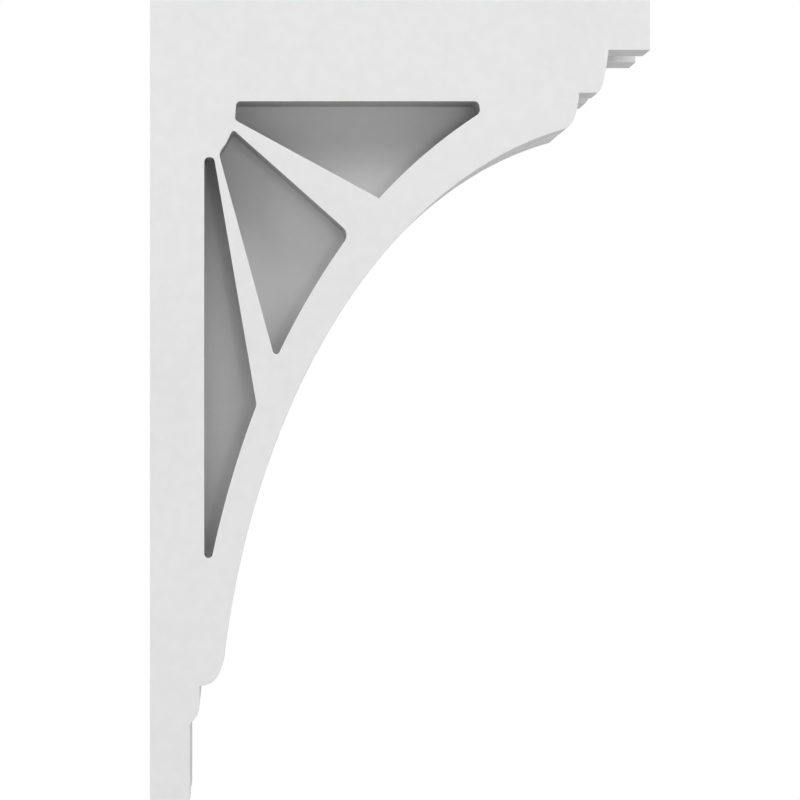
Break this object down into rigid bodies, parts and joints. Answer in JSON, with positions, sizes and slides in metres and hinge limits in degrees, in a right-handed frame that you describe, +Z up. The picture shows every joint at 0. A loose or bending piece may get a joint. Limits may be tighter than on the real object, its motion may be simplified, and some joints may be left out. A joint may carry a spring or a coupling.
{
  "type": "corbel",
  "caption": "Deep stepped corbel of laminated boards with fan-shaped recesses in each side, for under a porch roof, shelf or eave.",
  "frame": {"origin": "middle of the flat back face, which lies against the wall", "axes": "+X out from the wall, +Z up, +Y across the three boards"},
  "size_m": [0.254, 0.0762, 0.4064],
  "materials": {
    "white_trim_board": "satin"
  },
  "bodies": {
    "root": {"near_side_board": "white_trim_board", "core_board": "white_trim_board", "far_side_board": "white_trim_board"}
  },
  "joints": []
}
